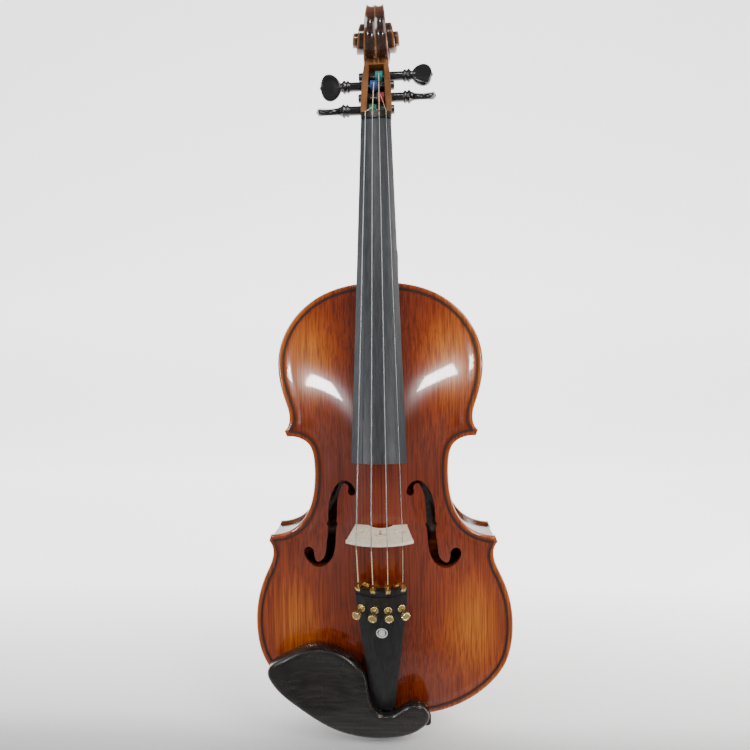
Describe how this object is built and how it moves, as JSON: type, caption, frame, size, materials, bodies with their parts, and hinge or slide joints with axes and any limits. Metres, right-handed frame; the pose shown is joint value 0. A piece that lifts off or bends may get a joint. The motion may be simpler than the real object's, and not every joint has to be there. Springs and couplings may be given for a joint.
{
  "type": "violin",
  "caption": "Full-size violin with arched plates, f-holes, scroll, turning pegs, bridge, tailpiece with working fine tuners, and a clamped chinrest.",
  "frame": {"origin": "centre of the end button's flat outer face, at the violin's lower end", "axes": "+Z from the end button up to the scroll, the strings face -Y, +X towards the treble (E string) side"},
  "size_m": [0.2106, 0.0957, 0.599],
  "materials": {
    "neck_wood": "glossy varnish",
    "top_varnish": "glossy varnish",
    "back_varnish": "glossy varnish",
    "rib_varnish": "glossy varnish",
    "purfling": "flush inlay",
    "inner_wood": "bare",
    "board_ebony": "satin",
    "ebony": "satin",
    "peg_ebony": "polished",
    "tailpiece_black": "satin",
    "pearl": "pearl",
    "cord": "smooth",
    "gilt": "polished",
    "string_metal": "wound",
    "ball_brass": "plain",
    "silk_green": "wrapped silk",
    "silk_blue": "wrapped silk",
    "silk_teal": "wrapped silk",
    "silk_red": "wrapped silk",
    "bridge_maple": "bare",
    "cork": "bare",
    "clamp_metal": "polished"
  },
  "bodies": {
    "violin": {"neck_and_scroll": "neck_wood", "tail_cord": "cord", "saddle": "ebony", "top_plate": "top_varnish", "back_plate": "back_varnish", "purfling": "purfling", "end_button": "ebony", "rib_lower": "rib_varnish", "rib_centre_bass": "rib_varnish", "rib_centre_treble": "rib_varnish", "rib_upper_bass": "rib_varnish", "rib_upper_treble": "rib_varnish", "upper_block": "inner_wood", "end_block": "inner_wood", "corner_blocks": "inner_wood", "linings": "inner_wood", "bass_bar": "inner_wood", "sound_post": "inner_wood", "fingerboard": "board_ebony", "nut": "ebony", "tailpiece": "tailpiece_black", "tailpiece_eye": "pearl", "tuner_frames": "gilt", "tuner_nuts": "gilt", "bridge": "bridge_maple", "string_g": "string_metal", "string_d": "string_metal", "string_a": "string_metal", "string_e": "string_metal", "chinrest": "ebony", "chinrest_corks": "cork", "clamp_studs": "clamp_metal"},
    "peg_g": {"peg_g": "peg_ebony", "winding_g": "silk_green"},
    "peg_d": {"peg_d": "peg_ebony", "winding_d": "silk_blue"},
    "peg_a": {"peg_a": "peg_ebony", "winding_a": "silk_teal"},
    "peg_e": {"peg_e": "peg_ebony", "winding_e": "silk_red"},
    "tuner_screw_g": {"tuner_screw_g": "gilt"},
    "tuner_knob_g": {"tuner_knob_g": "gilt"},
    "tuner_lever_g": {"tuner_lever_g": "gilt", "ball_end_g": "ball_brass"},
    "tuner_screw_d": {"tuner_screw_d": "gilt"},
    "tuner_knob_d": {"tuner_knob_d": "gilt"},
    "tuner_lever_d": {"tuner_lever_d": "gilt", "ball_end_d": "ball_brass"},
    "tuner_screw_a": {"tuner_screw_a": "gilt"},
    "tuner_knob_a": {"tuner_knob_a": "gilt"},
    "tuner_lever_a": {"tuner_lever_a": "gilt", "ball_end_a": "ball_brass"},
    "tuner_screw_e": {"tuner_screw_e": "gilt"},
    "tuner_knob_e": {"tuner_knob_e": "gilt"},
    "tuner_lever_e": {"tuner_lever_e": "gilt", "ball_end_e": "ball_brass"},
    "clamp_barrel_bass": {"clamp_barrel_bass": "clamp_metal"},
    "clamp_barrel_treble": {"clamp_barrel_treble": "clamp_metal"},
    "clamp_hook": {"clamp_hook": "clamp_metal", "hook_corks": "cork"}
  },
  "joints": [
    {"name": "peg_g_turn", "type": "hinge", "parent": "violin", "child": "peg_g", "pos_m": [0, -0.0035, 0.5087], "axis": [1, 0, 0], "continuous": true},
    {"name": "peg_d_turn", "type": "hinge", "parent": "violin", "child": "peg_d", "pos_m": [0, 0.00372, 0.532], "axis": [1, 0, 0], "continuous": true},
    {"name": "peg_a_turn", "type": "hinge", "parent": "violin", "child": "peg_a", "pos_m": [0, 0.00651, 0.541], "axis": [1, 0, 0], "continuous": true},
    {"name": "peg_e_turn", "type": "hinge", "parent": "violin", "child": "peg_e", "pos_m": [0, 0.00006, 0.5202], "axis": [1, 0, 0], "continuous": true},
    {"name": "tuner_g_travel", "type": "slide", "parent": "violin", "child": "tuner_screw_g", "axis": [-0.3571, -0.9149, -0.1881], "range_m": [-0.0015, 0.0015]},
    {"name": "tuner_g_knob", "type": "hinge", "parent": "tuner_screw_g", "child": "tuner_knob_g", "pos_m": [-0.015, -0.04367, 0.11388], "axis": [-0.3571, -0.9149, -0.1881], "range_deg": [-1085, 1085]},
    {"name": "tuner_g_lever", "type": "hinge", "parent": "violin", "child": "tuner_lever_g", "pos_m": [-0.01214, -0.03876, 0.12713], "axis": [-0.934, 0.3498, 0.0719], "range_deg": [-7.5, 7.5]},
    {"name": "tuner_d_travel", "type": "slide", "parent": "violin", "child": "tuner_screw_d", "axis": [-0.119, -0.9725, -0.2], "range_m": [-0.0015, 0.0015]},
    {"name": "tuner_d_knob", "type": "hinge", "parent": "tuner_screw_d", "child": "tuner_knob_d", "pos_m": [-0.005, -0.04609, 0.11338], "axis": [-0.119, -0.9725, -0.2], "range_deg": [-1085, 1085]},
    {"name": "tuner_d_lever", "type": "hinge", "parent": "violin", "child": "tuner_lever_d", "pos_m": [-0.00405, -0.04072, 0.12673], "axis": [-0.9929, 0.1166, 0.024], "range_deg": [-7.5, 7.5]},
    {"name": "tuner_a_travel", "type": "slide", "parent": "violin", "child": "tuner_screw_a", "axis": [0.119, -0.9725, -0.2], "range_m": [-0.0015, 0.0015]},
    {"name": "tuner_a_knob", "type": "hinge", "parent": "tuner_screw_a", "child": "tuner_knob_a", "pos_m": [0.005, -0.04609, 0.11338], "axis": [0.119, -0.9725, -0.2], "range_deg": [-1085, 1085]},
    {"name": "tuner_a_lever", "type": "hinge", "parent": "violin", "child": "tuner_lever_a", "pos_m": [0.00405, -0.04072, 0.12673], "axis": [-0.9929, -0.1166, -0.024], "range_deg": [-7.5, 7.5]},
    {"name": "tuner_e_travel", "type": "slide", "parent": "violin", "child": "tuner_screw_e", "axis": [0.3571, -0.9149, -0.1881], "range_m": [-0.0015, 0.0015]},
    {"name": "tuner_e_knob", "type": "hinge", "parent": "tuner_screw_e", "child": "tuner_knob_e", "pos_m": [0.015, -0.04367, 0.11388], "axis": [0.3571, -0.9149, -0.1881], "range_deg": [-1085, 1085]},
    {"name": "tuner_e_lever", "type": "hinge", "parent": "violin", "child": "tuner_lever_e", "pos_m": [0.01214, -0.03876, 0.12713], "axis": [-0.934, -0.3498, -0.0719], "range_deg": [-7.5, 7.5]},
    {"name": "clamp_barrel_bass_turn", "type": "hinge", "parent": "violin", "child": "clamp_barrel_bass", "pos_m": [-0.02, -0.0065, 0.0048], "axis": [0, 1, 0], "range_deg": [0, 1805]},
    {"name": "clamp_barrel_treble_turn", "type": "hinge", "parent": "violin", "child": "clamp_barrel_treble", "pos_m": [0.02, -0.0065, 0.0048], "axis": [0, 1, 0], "range_deg": [0, 1805]},
    {"name": "clamp_hook_travel", "type": "slide", "parent": "violin", "child": "clamp_hook", "axis": [0, 1, 0], "range_m": [0, 0.0035]}
  ],
  "couplings": [
    {"joint": "tuner_g_knob", "follows": "tuner_g_travel", "rad_per_m": 12566},
    {"joint": "tuner_g_lever", "follows": "tuner_g_travel", "rad_per_m": 83.333},
    {"joint": "tuner_d_knob", "follows": "tuner_d_travel", "rad_per_m": 12566},
    {"joint": "tuner_d_lever", "follows": "tuner_d_travel", "rad_per_m": 83.333},
    {"joint": "tuner_a_knob", "follows": "tuner_a_travel", "rad_per_m": 12566},
    {"joint": "tuner_a_lever", "follows": "tuner_a_travel", "rad_per_m": 83.333},
    {"joint": "tuner_e_knob", "follows": "tuner_e_travel", "rad_per_m": 12566},
    {"joint": "tuner_e_lever", "follows": "tuner_e_travel", "rad_per_m": 83.333},
    {"joint": "clamp_barrel_bass_turn", "follows": "clamp_hook_travel", "rad_per_m": 8976},
    {"joint": "clamp_barrel_treble_turn", "follows": "clamp_hook_travel", "rad_per_m": 8976}
  ]
}
